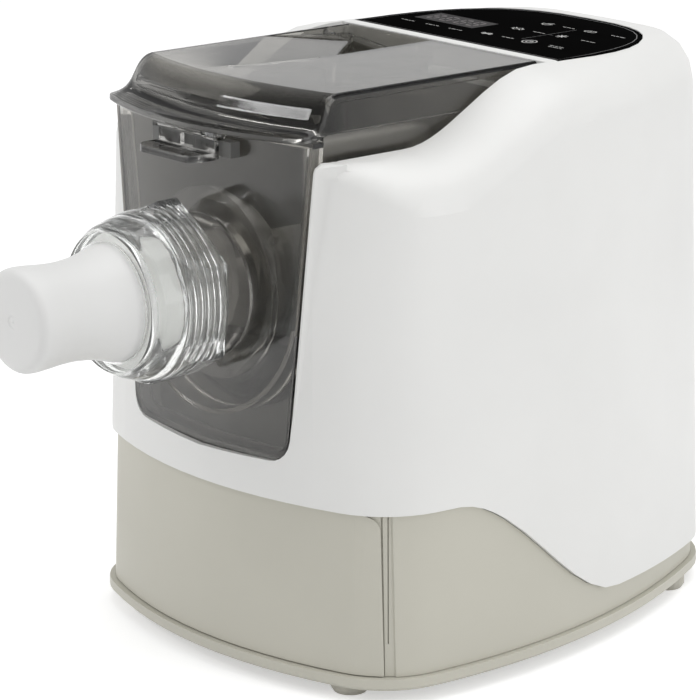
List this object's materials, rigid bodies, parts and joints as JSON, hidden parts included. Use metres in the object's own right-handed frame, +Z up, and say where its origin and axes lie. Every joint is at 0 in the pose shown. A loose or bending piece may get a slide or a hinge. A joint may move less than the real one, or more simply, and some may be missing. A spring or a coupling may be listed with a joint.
{
  "type": "electric pasta maker",
  "caption": "Table-top electric pasta maker: white shell with a control panel, smoky bowl, lid and front plate, clear lock nut with die and cap, and a storage drawer in the base.",
  "frame": {"origin": "middle of the overall box, on the surface that the machine stands on", "axes": "+Z up, the nozzle and drawer front face -Y, +X is the viewer's right when facing the front"},
  "size_m": [0.2426, 0.403, 0.29],
  "materials": {
    "white_shell": "satin moulded",
    "warm_grey_base": "satin moulded",
    "frame_plastic": "moulded",
    "smoky_plastic": "clear smoky gloss",
    "clear_plastic": "clear gloss",
    "frosted_plastic": "frosted",
    "die_plastic": "moulded",
    "dark_plastic": "moulded",
    "panel_glass": "black gloss",
    "gear_nylon": "moulded",
    "steel": "turned",
    "motor_steel": "drawn sheet",
    "rubber": "moulded",
    "silicone": "moulded",
    "circuit_board": "lacquered"
  },
  "bodies": {
    "body": {"upper_housing": "white_shell", "base_housing": "warm_grey_base", "base_plate": "warm_grey_base", "inner_frame": "frame_plastic", "rubber_foot_1": "rubber", "rubber_foot_2": "rubber", "rubber_foot_3": "rubber", "rubber_foot_4": "rubber", "base_screw_1": "steel", "base_screw_2": "steel", "base_screw_3": "steel", "base_screw_4": "steel", "control_panel_glass": "panel_glass", "touch_board": "circuit_board", "display_module": "dark_plastic", "mixing_bowl": "smoky_plastic", "front_plate": "smoky_plastic", "front_seal": "silicone", "shaft_seal": "silicone", "catch_bracket": "dark_plastic", "extrusion_barrel": "dark_plastic", "die_disc": "die_plastic", "main_bearing": "steel", "idler_pin": "steel", "gearbox_housing": "motor_steel", "gearbox_cover": "motor_steel", "motor_can": "motor_steel", "motor_end_cap": "dark_plastic", "motor_saddle": "rubber", "power_board": "circuit_board", "lid_switch": "dark_plastic", "cord_gland": "rubber", "lid_hinge_pin_left": "steel", "lid_hinge_pin_right": "steel"},
    "drawer": {"storage_drawer": "warm_grey_base"},
    "nut": {"lock_nut": "clear_plastic"},
    "cap": {"end_cap": "frosted_plastic"},
    "auger": {"mixing_auger": "frame_plastic", "drive_shaft": "steel", "output_gear": "gear_nylon"},
    "idler": {"idler_gear": "gear_nylon"},
    "rotor": {"motor_rotor": "steel", "motor_pinion": "gear_nylon", "cooling_fan": "dark_plastic"},
    "lid": {"lid": "smoky_plastic", "latch_pin": "steel", "latch_spring": "steel"},
    "latch": {"lid_latch": "smoky_plastic"},
    "plunger": {"switch_plunger": "die_plastic"}
  },
  "joints": [
    {"name": "lid_hinge", "type": "hinge", "parent": "body", "child": "lid", "pos_m": [0, 0.05046, 0.285], "axis": [-1, 0, 0], "range_deg": [0, 80]},
    {"name": "latch_swing", "type": "hinge", "parent": "lid", "child": "latch", "pos_m": [0, -0.09734, 0.2677], "axis": [-1, 0, 0], "range_deg": [0, 20], "stiffness_Nm_per_rad": 0.05},
    {"name": "drawer_slide", "type": "slide", "parent": "body", "child": "drawer", "axis": [0, -1, 0], "range_m": [0, 0.115]},
    {"name": "nut_turn", "type": "hinge", "parent": "body", "child": "nut", "pos_m": [0, -0.12, 0.19], "axis": [0, -1, 0], "range_deg": [0, 360]},
    {"name": "cap_pull", "type": "slide", "parent": "body", "child": "cap", "axis": [0, -1, 0], "range_m": [0, 0.06]},
    {"name": "auger_spin", "type": "hinge", "parent": "body", "child": "auger", "pos_m": [0, 0, 0.19], "axis": [0, -1, 0], "continuous": true},
    {"name": "idler_spin", "type": "hinge", "parent": "body", "child": "idler", "pos_m": [0, 0.09, 0.13375], "axis": [0, -1, 0], "continuous": true},
    {"name": "rotor_spin", "type": "hinge", "parent": "body", "child": "rotor", "pos_m": [0, 0.13, 0.0875], "axis": [0, -1, 0], "continuous": true},
    {"name": "switch_press", "type": "slide", "parent": "body", "child": "plunger", "axis": [0, 1, 0], "range_m": [0, 0.0015], "stiffness_N_per_m": 200}
  ],
  "couplings": [
    {"joint": "idler_spin", "follows": "auger_spin", "ratio": -4},
    {"joint": "rotor_spin", "follows": "auger_spin", "ratio": 12.444}
  ]
}
